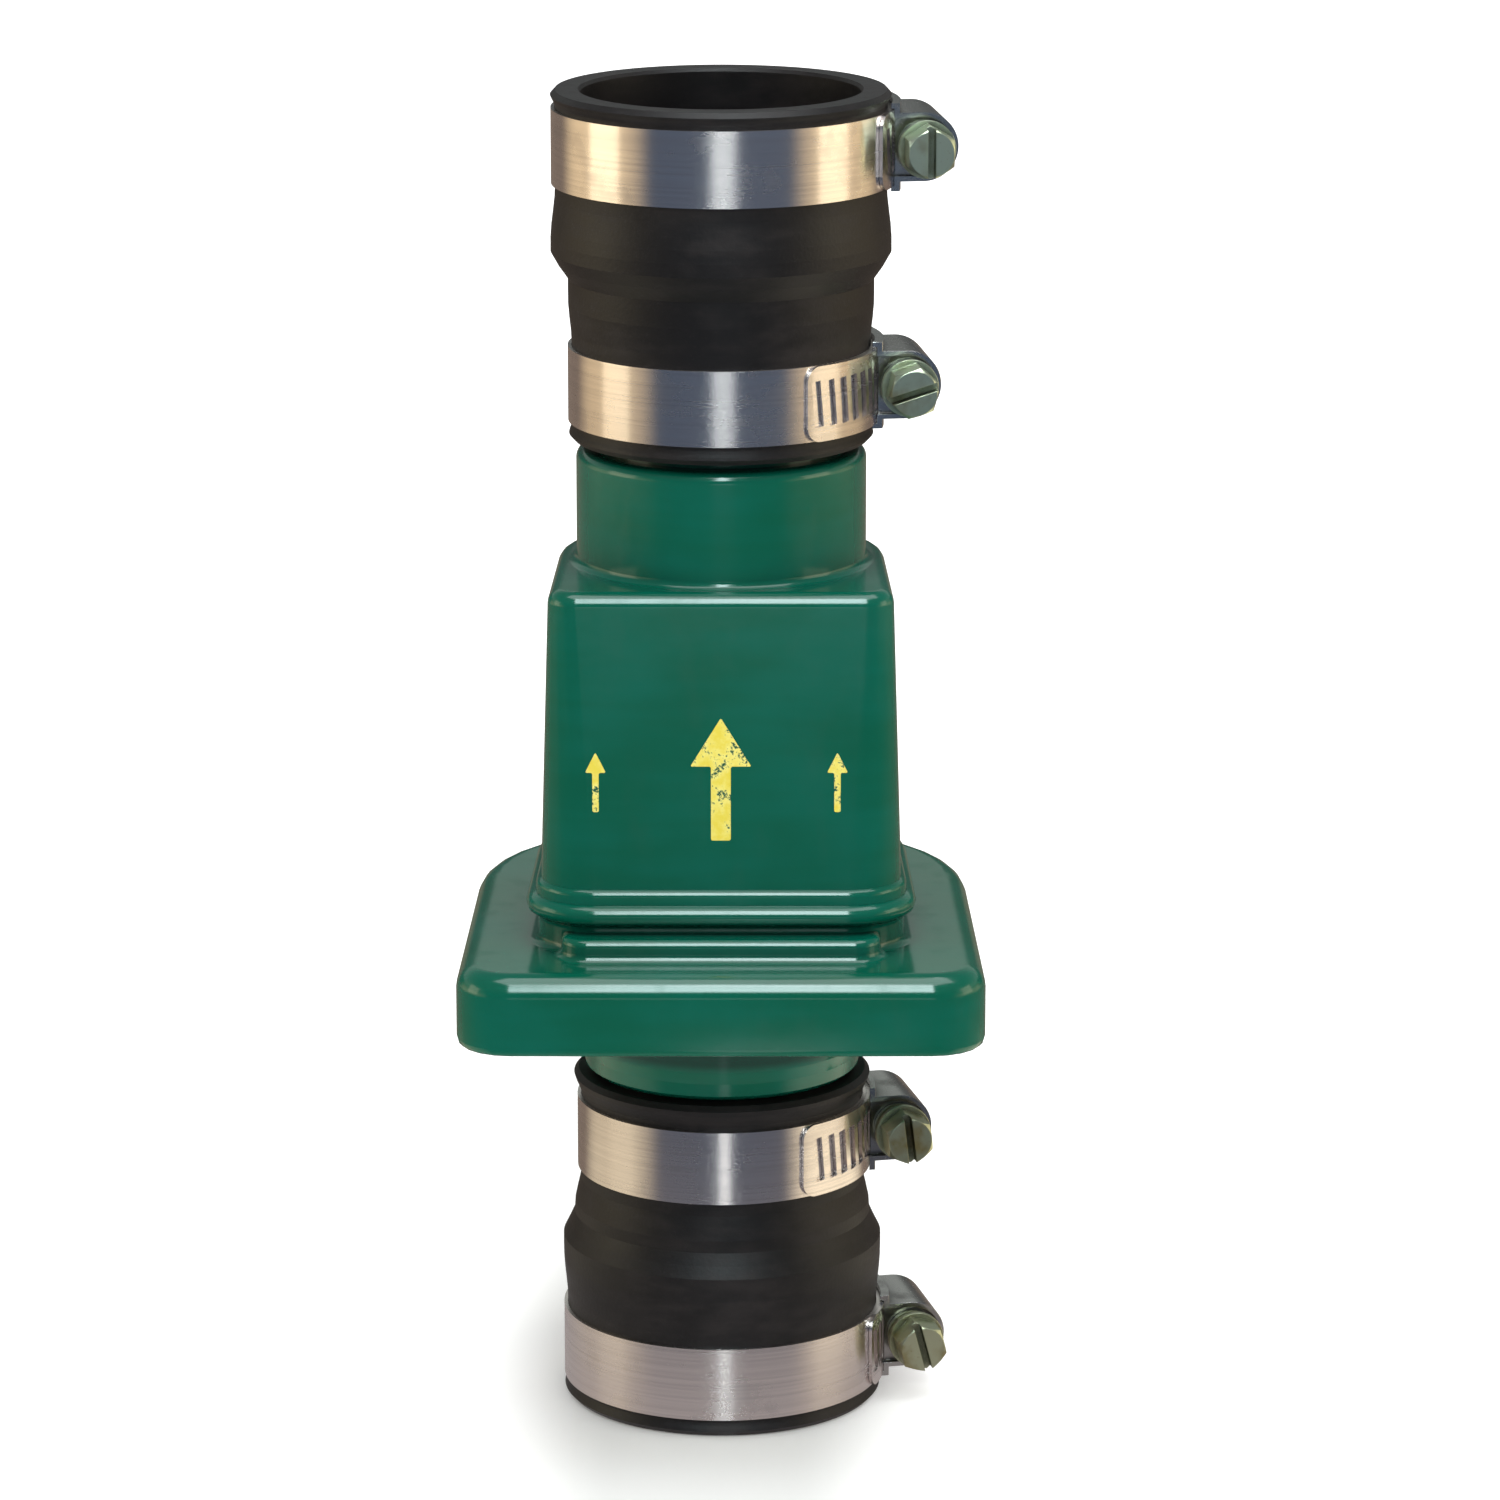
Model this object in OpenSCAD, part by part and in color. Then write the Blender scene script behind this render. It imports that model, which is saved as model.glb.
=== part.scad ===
// Swing check valve with two reducing rubber sleeves and four worm-drive clamps.
// The pipe axis is Z and flow runs up. Z = 0 is the rim of the lower sleeve.
// The flat marked face looks toward -Y and the clamp screws lie on the +X side.

/* [Pipe and wall] */
// Outside diameter of the pipe that each sleeve takes
pipe_d = 48.25; // [46:0.05:49]
// Outside diameter of the casing spigots
spigot_d = 42.2; // [40:0.1:43]
// Casing wall
wall = 3.2; // [2.6:0.1:3.6]

/* [Casing heights] */
// Free length of the inlet neck between sleeve and skirt
inlet_neck_h = 15; // [12:0.2:20]
// Height of the flange skirt
skirt_h = 14.2; // [12:0.2:18]
// Height of the chamber above the flange
chamber_h = 63.1; // [58:0.5:80]
// Height of the outlet neck up to its shoulder
outlet_neck_h = 20.2; // [14:0.2:30]
// Bare spigot between the outlet neck and its sleeve
outlet_gap = 1.5; // [0.5:0.1:4]
// Bare spigot between the inlet neck and its sleeve
inlet_gap = 0.6; // [0.3:0.1:3]

/* [Necks] */
// Distance that the outlet neck stands out from its spigot
outlet_step = 4.15; // [3:0.05:5]
// Wall of the outlet neck
outlet_neck_wall = 4.4; // [3.6:0.1:5]
// Radius of the outlet neck's upper edge
neck_edge = 2; // [1:0.1:3]
// Radius of the hollow at the foot of the outlet neck
neck_root = 1.4; // [1:0.1:2]
// Length of the cone from the outlet neck's bore to the spigot's
cone_h = 5; // [3:0.5:8]
// Distance that the inlet neck stands out from its spigot
inlet_step = 3.2; // [2:0.1:4]
// Distance that the inlet neck flares out up to the plate
flare_out = 9; // [6:0.5:10]
// Power of the flare's curve
flare_power = 1.6; // [1.2:0.1:2.4]
// Bevel at the end of a spigot
spigot_bevel = 1; // [0.5:0.1:1.5]

/* [Chamber] */
// Front width at the flange
base_w = 63.2; // [60:0.2:66]
// Front width at the top
top_w = 59.2; // [56:0.2:62]
// Width taken off toward the back
back_taper = 2; // [0.4:0.2:6]
// Casing left between the front face and the hinge pocket
pocket_wall = 1.5; // [1.2:0.1:3]
// Distance that the front face leans in up to the top
front_draft = 2; // [0.5:0.1:2.4]
// Distance from the axis to the back at the flange
base_back = 31.4; // [29:0.2:34]
// Distance from the axis to the back at the top
top_back = 29; // [28.4:0.2:31]
// Radius of the front corners at the flange
base_corner = 10.5; // [6:0.5:12]
// Radius of the front corners at the top
top_corner = 4.8; // [3.6:0.2:6]
// Radius of the back corners
back_corner = 21; // [16:0.5:25]
// Radius of the top edge
top_edge = 2.4; // [1.5:0.1:3.4]

/* [Flange] */
// Width at the front
flange_w = 91; // [86:0.2:100]
// Width taken off toward the back
flange_taper = 3; // [1:0.2:6]
// Distance from the axis to the front edge
flange_front = 46.4; // [44:0.2:52]
// Distance from the axis to the back edge
flange_back = 59; // [52:0.5:63]
// Radius of the front corners
flange_corner = 9.5; // [7:0.5:12]
// Radius of the back corners
flange_back_corner = 38; // [30:0.5:40]
// Radius of the upper edge
flange_edge = 4; // [2:0.2:5]
// Thickness of the flange top
flange_t = 3.6; // [3:0.1:4.5]

/* [Bead and pad] */
// Height of the bead above the flange
bead_h = 7; // [6:0.1:9]
// Radius of the bead
bead_r = 1.8; // [1.2:0.1:2.2]
// Distance from the chamber face out to the middle of the bead
bead_out = 0.65; // [0.4:0.05:0.7]
// Height of the small step above the middle of the bead
step_h = 3.2; // [2.4:0.1:4]
// Distance that this step stands out from the chamber face
step_out = 0.9; // [0.7:0.05:1]
// Radius of the step's upper edge
step_r = 1.2; // [1:0.1:2]
// Radius of the hollow under the bead
waist_r = 1.2; // [0.8:0.1:1.6]
// Distance from the chamber face out to the bottom of that hollow
waist_out = 0.3; // [0:0.05:0.6]
// Radius of the hollow where the chamber meets the flange
foot_r = 1.5; // [0.8:0.1:2]
// Width of the front pad
pad_w = 55; // [50:0.5:58]
// Distance that the pad stands out from the front face
pad_out = 5.5; // [4:0.1:8]
// Height of the pad above the flange
pad_h = 3.8; // [3:0.1:4.4]
// Radius of the pad's corners
pad_corner = 4.5; // [3:0.1:5]
// Radius of the pad's upper edge
pad_edge = 1.3; // [0.8:0.1:1.6]
// Radius of the hollow at the foot of the pad
pad_foot = 1.4; // [0.8:0.1:1.6]

/* [Seat and plate] */
// Thickness of the inlet plate
plate_t = 6; // [4:0.2:8]
// Height of the seat above the plate
seat_h = 1.6; // [1:0.1:2.4]
// Width of the flat land of the seat
seat_land = 2; // [1.5:0.1:2.6]
// Distance that the seat's bore is wider than the passage
seat_relief = 0.6; // [0.2:0.1:1]

/* [Flapper] */
// Distance that the disc reaches over the edge of the seat's bore
disc_lap = 3.3; // [3:0.1:4]
// Thickness of the rubber disc
disc_t = 2.6; // [2:0.1:3.4]
// Distance from the edge of the disc to the edge of its brass backing plate
backing_inset = 3.3; // [2:0.1:8]
// Thickness of the brass backing plate
backing_t = 1.6; // [1:0.1:2.4]
// Width of the arm
arm_w = 14; // [12:0.5:15]
// Thickness of the arm
arm_t = 2; // [1.4:0.1:2.6]
// Distance from the edge of the disc to the hinge pin
hinge_gap = 4.5; // [4.2:0.1:4.7]
// Diameter of the hinge pin
pin_d = 3.2; // [2.4:0.1:3.6]
// Diameter of the pin's heads
pin_head_d = 4.8; // [4:0.1:5.4]
// Thickness of the pin's heads
pin_head_t = 0.7; // [0.4:0.1:1]
// Outer radius of the hinge knuckle and of the ears
knuckle_r = 3; // [2.7:0.1:3]
// Length of the knuckle
knuckle_l = 16.8; // [15.4:0.2:18]
// Thickness of each ear
ear_t = 4; // [3:0.2:5]
// Opening angle where the arm meets its stop
open_a = 65; // [55:1:65]
// Diameter of the rivet
rivet_d = 5; // [4:0.1:6]
// Diameter of the rivet's heads
rivet_head_d = 9.6; // [8:0.1:11]
// Height of the rivet's heads
rivet_head_t = 1.6; // [1:0.1:2]
// Diameter of the washer under the disc
washer_d = 20; // [16:0.5:26]
// Thickness of that washer
washer_t = 1; // [0.6:0.1:1.4]

/* [Sleeves] */
// Length of the upper sleeve
upper_sleeve_l = 60.8; // [56:0.2:66]
// Length of the lower sleeve
lower_sleeve_l = 60; // [56:0.2:66]
// Depth of the upper sleeve's small socket
upper_small_depth = 28; // [25:0.5:29]
// Depth of the lower sleeve's small socket
lower_small_depth = 26.5; // [25:0.5:29]
// Thickness of the inner stop ledge
ledge_t = 3; // [2:0.5:4]
// Bore of the stop ledge
ledge_d = 38; // [36:0.5:39]
// Rubber round the pipe at the large end of the upper sleeve
upper_large_wall = 5.3; // [4.2:0.05:5.8]
// Rubber round the spigot at the small end of the upper sleeve
upper_small_wall = 5.35; // [4.4:0.05:5.8]
// Rubber round the pipe at the large end of the lower sleeve
lower_large_wall = 4.2; // [3.6:0.05:5.4]
// Rubber round the spigot at the small end of the lower sleeve
lower_small_wall = 5.2; // [4.2:0.05:5.8]
// Height of the slope between the small and the large end
slope_h = 4.3; // [3:0.1:8]
// Rounding of the outer rims
rim_round = 0.9; // [0.5:0.1:1.2]
// Bevel at the mouth of each socket
mouth_bevel = 0.4; // [0.2:0.1:1.2]
// Depth that the upper large band presses into the rubber
upper_large_bite = 0.85; // [0:0.05:1.4]
// Depth that the upper small band presses into the rubber
upper_small_bite = 0.6; // [0:0.05:1.4]
// Depth that the lower large band presses into the rubber
lower_large_bite = 0.7; // [0:0.05:1.4]
// Depth that the lower small band presses into the rubber
lower_small_bite = 1.3; // [0:0.05:1.4]

/* [Bands] */
// Width of the band
band_w = 13.1; // [12.7:0.1:15]
// Thickness of the band
band_t = 0.64; // [0.5:0.02:0.8]
// Distance from a large sleeve end to the middle of its band
large_inset = 9.6; // [8:0.1:12]
// Distance from the upper sleeve's small end to the middle of its band
upper_small_inset = 9.8; // [9:0.1:14]
// Distance from the lower sleeve's small end to the middle of its band
lower_small_inset = 11.4; // [9:0.1:14]
// Angle from the front to the tail of a large band
large_tail_a = 67; // [45:1:70]
// Angle from the front to the tail of a small band
small_tail_a = 33; // [20:1:60]
// Spacing of the slots, which is also the pitch of the worm
pitch = 3.175; // [3:0.025:3.4]
// Width of a slot
slot_w = 1.9; // [1.8:0.05:2.1]
// Length of a slot
slot_l = 8; // [7:0.1:9]
// Lean of the slots
slot_lean = 6; // [4:0.5:8]
// Radius of the tail's corners
tail_r = 2.6; // [1.5:0.1:4]
// Angle between the end of the tail and the middle of its first slot
tail_room_a = 3.6; // [3:0.2:8]
// Angle from the screw to the end of the inner layer
fixed_a = 16; // [14:1:18]

/* [Worm screws] */
// Radius of the worm crest
crest_r = 4.7; // [4.2:0.1:4.9]
// Depth that the crest reaches into a slot
dip = 0.55; // [0.3:0.05:0.6]
// Radius of the worm root
root_r = 3.5; // [3:0.1:3.7]
// Width of a worm tooth at its crest
crest_w = 0.9; // [0.7:0.1:1.1]
// Width of a worm tooth at its root
tooth_w = 2.1; // [1.8:0.1:2.4]
// Radius of the neck that turns in the housing
neck_r = 2.9; // [2.5:0.1:3.1]
// Radius of the pilot at the far end
pilot_r = 2; // [1.5:0.1:2.4]
// Hexagon across flats
hex_af = 7.94; // [7:0.01:8.2]
// Height of the hexagon
hex_h = 5.3; // [4:0.1:6]
// Bevel at the outer end of the hexagon
hex_bevel = 0.7; // [0.4:0.1:1]
// Radius of the flange under the hexagon
head_flange_r = 5; // [4.6:0.1:5.2]
// Thickness of that flange
head_flange_t = 1; // [0.6:0.1:2]
// Length of the shank between flange and collar
shank_l = 2.6; // [0.6:0.2:4]
// Thickness of the collar before the housing's wall
collar_t = 0.9; // [0.6:0.1:1.4]
// Width of the driver slot
driver_w = 1.4; // [1:0.1:1.6]
// Depth of the driver slot
driver_d = 2.2; // [1:0.1:3]
// Azimuth of the upper housings from +X toward the back
upper_screw_a = 7.4; // [0:0.2:14]
// Azimuth of the lower housings from +X toward the back
lower_screw_a = 12.4; // [0:0.2:14]

/* [Housings] */
// Length of a housing along the screw
housing_l = 16; // [15:0.2:17]
// Sheet thickness
sheet_t = 0.9; // [0.7:0.05:1.1]
// Depth that the dome reaches out past its front wall
dome_lip = 1.2; // [0.6:0.1:1.6]
// Depth that the saddle's sides reach down past the outer layer
saddle_drop = 2.5; // [1.5:0.1:3]

/* [Hidden] */
$fn = 96;

// Clearances
run_fit = 0.08; // pin in knuckle and screw in housing, on the radius
push_fit = 0.02; // pin in ears and rivet in its plates, on the radius
side_fit = 0.2; // knuckle between ears, and plate inside skirt
seal_gap = 0.1; // disc above seat
stop_gap = 0.3; // arm before its stop
rubber_fit = 0.05; // sleeve round spigot, band round sleeve
layer_gap = 0.06; // one band layer over the other
worm_gap = 0.35; // worm inside its dome
band_side = 0.15; // band inside its saddle, on each side
end_play = 0.1; // worm between the ends of its dome
collar_gap = 0.15; // collar before the dome's wall
collar_room = 0.75; // collar inside the dome's lip, on the radius
end_gap = 0.5; // spigot end before the sleeve's ledge
pocket_side = 1; // pocket beside each ear
weld = 1; // how far one form runs into the next of the same body
eps = 0.5; // how far a cutter runs past a face

// Levels along the pipe axis
z_skirt = lower_sleeve_l + inlet_neck_h;
z_flange = z_skirt + skirt_h;
z_plate = z_flange - flange_t;
z_top = z_flange + chamber_h;
z_shoulder = z_top + outlet_neck_h;
z_sleeve = z_shoulder + outlet_gap;
z_end = z_sleeve + upper_sleeve_l;
z_bead = z_flange + bead_h;

// Flow passage
spigot_r = spigot_d / 2;
bore_r = spigot_r - wall;
seat_bore_r = bore_r + seat_relief;
seat_out_r = seat_bore_r + 1.2 * seat_land;
outlet_neck_r = spigot_r + outlet_step;
inlet_neck_r = spigot_r + inlet_step;
disc_r = seat_bore_r + disc_lap;
hinge_out = disc_r + hinge_gap;

// Flapper levels
z_disc = z_plate + seat_h + seal_gap;
z_backing = z_disc + disc_t;
z_arm = z_backing + backing_t;
z_arm_top = z_arm + arm_t;
z_hinge = z_arm_top - knuckle_r;
ear_in = knuckle_l / 2 + side_fit;
ear_out = ear_in + ear_t;

// Pocket for the hinge in the front wall
pocket_y = hinge_out + knuckle_r + side_fit;
pocket_top = z_bead + bead_r;
base_front = pocket_y + pocket_wall;
top_front = base_front - front_draft;

// Small fixed forms
outlet_bore_r = outlet_neck_r - outlet_neck_wall;
rim_r = 1.5; // rounding of the skirt's rim
ceiling_r = 2; // hollow under the chamber ceiling
fillet_sink = 0.3; // depth that the neck's fillet starts below the chamber top
shoulder_bevel = 0.8; // bevel at the inlet neck's shoulder
stop_from = 9; // stop face along the open arm, from the hinge
stop_to = 18;
stop_t = 3; // thickness of each stop rib
stop_out = 2.5; // distance from the middle to each stop rib
band_rim = 0.2; // rubber at full bite on each side of a band
small_fade = 8; // length over which a small band's bite fades out
large_fade = 10; // and a large band's, toward the slope
WORM_TURNS = 2; // worm teeth on each side of the middle one
FLARE_STEPS = 8;
RIM_STEPS = 4;
SLOPE_STEPS = 12;

// Sleeve radii
socket_r = pipe_d / 2 + rubber_fit / 2;
grip_r = spigot_r + rubber_fit;
upper_large_r = socket_r + upper_large_wall;
upper_small_r = grip_r + upper_small_wall;
lower_large_r = socket_r + lower_large_wall;
lower_small_r = grip_r + lower_small_wall;

// Plan outlines: front half width, back half width, front, back, front radius, back radius
flange_plan = [
    flange_w / 2, (flange_w - flange_taper) / 2, flange_front, flange_back,
    flange_corner, flange_back_corner
];
base_plan = [base_w / 2, (base_w - back_taper) / 2, base_front, base_back, base_corner, back_corner];
top_plan = [top_w / 2, (top_w - back_taper) / 2, top_front, top_back, top_corner, back_corner];
pad_plan = [pad_w / 2, pad_w / 2, base_front + pad_out, 1.5 * wall - base_front, pad_corner, pad_corner - 1];

// Steps in each front corner and back corner of an outline, and in a rounded edge
FRONT_STEPS = 5;
BACK_STEPS = 9;
EDGE_STEPS = 6;
HOLLOW_STEPS = 4;
bead_trim = 12; // angle left to the joining facets at each end of the bead's arc

function plan_at(z) = base_plan + (top_plan - base_plan) * (z - z_flange) / chamber_h;
function inset(p, d) = [for (v = p) v - d];
function polar(r, a) = [r * cos(a), r * sin(a)];
function arc(c, r, a0, a1, n) = [for (i = [0:n]) c + polar(r, a0 + (a1 - a0) * i / n)];
function mirrored(half) = concat(half, [for (i = [len(half) - 1:-1:0]) [-half[i][0], half[i][1]]]);

// Half outline: a front corner and a back corner joined by their common tangent
function half_outline(p) =
    let (front = [p[0] - p[4], p[4] - p[2]])
    let (back = [p[1] - p[5], p[3] - p[5]])
    let (span = back - front)
    let (lean = atan2(span[1], span[0]) - acos((p[4] - p[5]) / norm(span)))
    concat(arc(front, p[4], -90, lean, FRONT_STEPS), arc(back, p[5], lean, 90, BACK_STEPS));
function ring(p, d, z) = [for (q = mirrored(half_outline(inset(p, d)))) [q[0], q[1], z]];

// Solid through a list of rings with the same number of points, from the top ring down its outside
module loft(rings) {
    n = len(rings[0]);
    last = len(rings) - 1;
    sides = [
        for (k = [0:last - 1]) for (i = [0:n - 1])
            let (a = k * n + i, b = k * n + (i + 1) % n)
            each [[a, b + n, a + n], [a, b, b + n]]
    ];
    caps = [[for (i = [n - 1:-1:0]) i], [for (i = [0:n - 1]) last * n + i]];
    polyhedron([for (r = rings) each r], concat(sides, caps), convexity = 8);
}

// Outside of the casing from the chamber top down to the rim of the skirt
function chamber_rings() = [
    for (q = arc([top_edge, z_top - top_edge], top_edge, 90, 180, EDGE_STEPS))
        ring(plan_at(q[1]), q[0], q[1])
];
function bead_rings() =
    let (step_a = acos(1 - step_out / step_r))
    let (crease_a = acos((step_out - bead_out) / bead_r))
    let (under = waist_r + waist_out - bead_out)
    let (drop = sqrt(pow(waist_r + bead_r, 2) - pow(under, 2)))
    let (under_a = atan2(drop, under))
    let (profile = concat(
        arc([step_out - step_r, z_bead + step_h], step_r, step_a, 0, HOLLOW_STEPS),
        arc([bead_out, z_bead], bead_r, crease_a, bead_trim - under_a, EDGE_STEPS + 2),
        arc([waist_r + waist_out, z_bead - drop], waist_r, 180 - under_a, 180, HOLLOW_STEPS - 1),
        arc([foot_r + waist_out, z_flange + foot_r], foot_r, 180, 270, HOLLOW_STEPS)
    ))
    [for (q = profile) ring(plan_at(q[1]), -q[0], q[1])];
function skirt_rings() = [
    for (q = concat(
        arc([flange_edge, z_flange - flange_edge], flange_edge, 90, 180, EDGE_STEPS),
        arc([rim_r, z_skirt + rim_r], rim_r, 180, 270, HOLLOW_STEPS - 1)
    )) ring(flange_plan, q[0], q[1])
];

// Inside of the casing from the skirt up to the chamber ceiling
function inner_rings() = concat(
    [ring(flange_plan, wall, z_skirt), ring(flange_plan, wall, z_plate)],
    [ring(plan_at(z_plate), wall, z_plate)],
    [
        for (q = arc([wall + ceiling_r, z_top - wall - ceiling_r], ceiling_r, 180, 90, HOLLOW_STEPS))
            ring(plan_at(q[1]), q[0], q[1])
    ]
);

// Pad in front of the hinge pocket, with a hollow at its foot and a rounded upper edge
module pad() {
    profile = concat(
        arc([pad_edge, z_flange + pad_h - pad_edge], pad_edge, 90, 180, HOLLOW_STEPS),
        arc([-pad_foot, z_flange + pad_foot], pad_foot, 0, -90, HOLLOW_STEPS),
        [[-pad_foot, z_flange - weld]]
    );
    loft([for (q = profile) ring(pad_plan, q[0], q[1])]);
}

// Two ribs inside the front wall that the open arm lands on
module stop_ribs() {
    off = knuckle_r + stop_gap;
    face = [for (d = [stop_from, stop_to]) [
        -hinge_out + d * cos(open_a) - off * sin(open_a),
        z_hinge + d * sin(open_a) + off * cos(open_a)
    ]];
    root = weld - base_front + wall / 2;
    for (x = [-stop_out - stop_t, stop_out])
        translate([x, 0, 0])
            rotate([90, 0, 90])
                linear_extrude(stop_t)
                    polygon([
                        [root, face[0][1] - stop_t], face[0],
                        face[1], [root, face[1][1] + stop_t + 2 * weld]
                    ]);
}

module outlet_neck() {
    start = z_top - wall / 2;
    sunk = z_top - fillet_sink;
    end = z_sleeve + upper_small_depth - end_gap;
    rotate_extrude()
        polygon(concat(
            [[bore_r - weld, start], [outlet_neck_r, start], [outlet_neck_r, sunk]],
            [[outlet_neck_r + neck_root, sunk]],
            arc([outlet_neck_r + neck_root, z_top + neck_root], neck_root, 270, 180, EDGE_STEPS),
            arc([outlet_neck_r - neck_edge, z_shoulder - neck_edge], neck_edge, 0, 90, EDGE_STEPS),
            [[spigot_r, z_shoulder], [spigot_r, end - spigot_bevel]],
            [[spigot_r - spigot_bevel, end], [bore_r - weld, end]]
        ));
}

module outlet_body() {
    color([0.0, 0.36, 0.27])
        difference() {
            union() {
                loft(concat(chamber_rings(), bead_rings(), skirt_rings(), inner_rings()));
                outlet_neck();
                pad();
                stop_ribs();
            }
            rotate_extrude()
                polygon([
                    [0, z_top - wall - eps], [outlet_bore_r, z_top - wall - eps],
                    [outlet_bore_r, z_shoulder - weld - cone_h], [bore_r, z_shoulder - weld],
                    [bore_r, z_end], [0, z_end]
                ]);
            translate([-ear_out - pocket_side, -pocket_y, z_plate - eps])
                cube([
                    2 * (ear_out + pocket_side), pocket_y - hinge_out + 2 * weld,
                    pocket_top - z_plate + eps
                ]);
        }
}

// Flaring neck between the lower sleeve and the plate
module inlet_neck() {
    z0 = lower_sleeve_l + inlet_gap;
    end = lower_sleeve_l - lower_small_depth + end_gap;
    flare_h = z_plate - plate_t - z0 - shoulder_bevel;
    rotate_extrude()
        polygon(concat(
            [[bore_r - weld, end], [spigot_r - spigot_bevel, end], [spigot_r, end + spigot_bevel]],
            [[spigot_r, z0], [inlet_neck_r - shoulder_bevel, z0]],
            [
                for (i = [0:FLARE_STEPS])
                    let (t = i / FLARE_STEPS)
                    [inlet_neck_r + flare_out * pow(t, flare_power), z0 + shoulder_bevel + flare_h * t]
            ],
            [[inlet_neck_r + flare_out, z_plate - weld], [seat_out_r, z_plate - weld]],
            [[seat_out_r, z_plate], [seat_bore_r + seat_land, z_plate + seat_h]],
            [[bore_r - weld, z_plate + seat_h]]
        ));
}

module ear(x) {
    translate([x, -hinge_out, z_hinge])
        rotate([0, 90, 0])
            cylinder(r = knuckle_r, h = ear_t);
    translate([x, -hinge_out - knuckle_r, z_plate - weld])
        cube([ear_t, 2 * knuckle_r, z_hinge - z_plate + weld]);
}

module inlet_body() {
    color([0.0, 0.36, 0.27])
        difference() {
            union() {
                loft([for (z = [z_plate, z_plate - plate_t]) ring(flange_plan, wall + side_fit, z)]);
                inlet_neck();
                ear(ear_in);
                ear(-ear_out);
            }
            rotate_extrude()
                polygon([
                    [0, 0], [bore_r, 0], [bore_r, z_plate + seat_h - weld],
                    [seat_bore_r, z_plate + seat_h], [seat_bore_r, z_plate + seat_h + eps],
                    [0, z_plate + seat_h + eps]
                ]);
            translate([-ear_out - eps, -hinge_out, z_hinge])
                rotate([0, 90, 0])
                    cylinder(d = pin_d + 2 * push_fit, h = 2 * (ear_out + eps));
        }
}

module hinge_pin() {
    color([0.75, 0.75, 0.72])
        translate([0, -hinge_out, z_hinge])
            rotate([0, 90, 0]) {
                cylinder(d = pin_d, h = 2 * ear_out, center = true);
                for (s = [-1, 1])
                    translate([0, 0, s * (ear_out + pin_head_t / 2)])
                        cylinder(d = pin_head_d, h = pin_head_t, center = true);
            }
}

module flapper_arm() {
    color([0.72, 0.56, 0.28])
        difference() {
            union() {
                translate([-knuckle_l / 2, -hinge_out, z_hinge])
                    rotate([0, 90, 0])
                        cylinder(r = knuckle_r, h = knuckle_l);
                translate([-arm_w / 2, -hinge_out, z_arm])
                    cube([arm_w, hinge_out, arm_t]);
                translate([0, 0, z_arm])
                    cylinder(d = arm_w, h = arm_t);
            }
            translate([-knuckle_l / 2 - eps, -hinge_out, z_hinge])
                rotate([0, 90, 0])
                    cylinder(d = pin_d + 2 * run_fit, h = knuckle_l + 2 * eps);
            translate([0, 0, z_arm - eps])
                cylinder(d = rivet_d + 2 * push_fit, h = arm_t + 2 * eps);
        }
}

module ring_plate(d, t, z) {
    translate([0, 0, z])
        difference() {
            cylinder(d = d, h = t);
            translate([0, 0, -eps])
                cylinder(d = rivet_d + 2 * push_fit, h = t + 2 * eps);
        }
}

module flapper_disc() {
    color([0.09, 0.09, 0.09])
        ring_plate(2 * disc_r, disc_t, z_disc);
}

module flapper_backing() {
    color([0.72, 0.56, 0.28])
        ring_plate(2 * (disc_r - backing_inset), backing_t, z_backing);
}

module flapper_washer() {
    color([0.72, 0.56, 0.28])
        ring_plate(washer_d, washer_t, z_disc - washer_t);
}

// Rivet with a domed head on the arm and another under the washer
module flapper_rivet() {
    head_r = rivet_head_d / 2;
    dome_r = (pow(head_r, 2) + pow(rivet_head_t, 2)) / (2 * rivet_head_t);
    dome = arc([0, rivet_head_t - dome_r], dome_r, 90 - asin(head_r / dome_r), 90, HOLLOW_STEPS);
    color([0.72, 0.56, 0.28])
        rotate_extrude()
            polygon(concat(
                [for (i = [HOLLOW_STEPS:-1:0]) [dome[i][0], z_disc - washer_t - dome[i][1]]],
                [[rivet_d / 2, z_disc - washer_t], [rivet_d / 2, z_arm_top]],
                [for (q = dome) [q[0], z_arm_top + q[1]]]
            ));
}

// Share of the bite at height z, full under the band and fading out on both sides
function pinch(z, mid, near, far) =
    let (flat = band_w / 2 + band_rim)
    let (e = z < mid ? (mid - z - flat) / near : (z - mid - flat) / far)
    0.5 + 0.5 * cos(180 * min(max(e, 0), 1));

// One sleeve, from its small end up
module sleeve(l, depth, large, small, small_mid, small_bite, large_bite) {
    half = band_w / 2 + band_rim;
    rim = half + 2 * band_rim;
    function free_r(t) = small + (large - small) * (0.5 - 0.5 * cos(180 * min(max(t, 0), 1)));
    function r_at(z) =
        free_r((z - depth - band_rim) / slope_h)
        - small_bite * pinch(z, small_mid, small_mid - rim, small_fade)
        - large_bite * pinch(l - z, large_inset, large_inset - rim, large_fade);
    under = [small_mid - half, small_mid + half, l - large_inset - half, l - large_inset + half];
    zs = concat(
        [for (i = [0:RIM_STEPS]) rim_round + (under[0] - rim_round) * i / RIM_STEPS],
        [for (i = [0:SLOPE_STEPS]) under[1] + (under[2] - under[1]) * i / SLOPE_STEPS],
        [for (i = [0:RIM_STEPS]) under[3] + (l - rim_round - under[3]) * i / RIM_STEPS]
    );
    rotate_extrude()
        polygon(concat(
            [[grip_r + mouth_bevel, 0], [r_at(0) - rim_round, 0]],
            [for (z = zs) [r_at(z), z]],
            [[r_at(l) - rim_round, l], [socket_r + mouth_bevel, l]],
            [[socket_r, l - 1.5 * mouth_bevel], [socket_r, depth + ledge_t]],
            [[ledge_d / 2, depth + ledge_t], [ledge_d / 2, depth]],
            [[grip_r, depth], [grip_r, 1.5 * mouth_bevel]]
        ));
}

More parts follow.
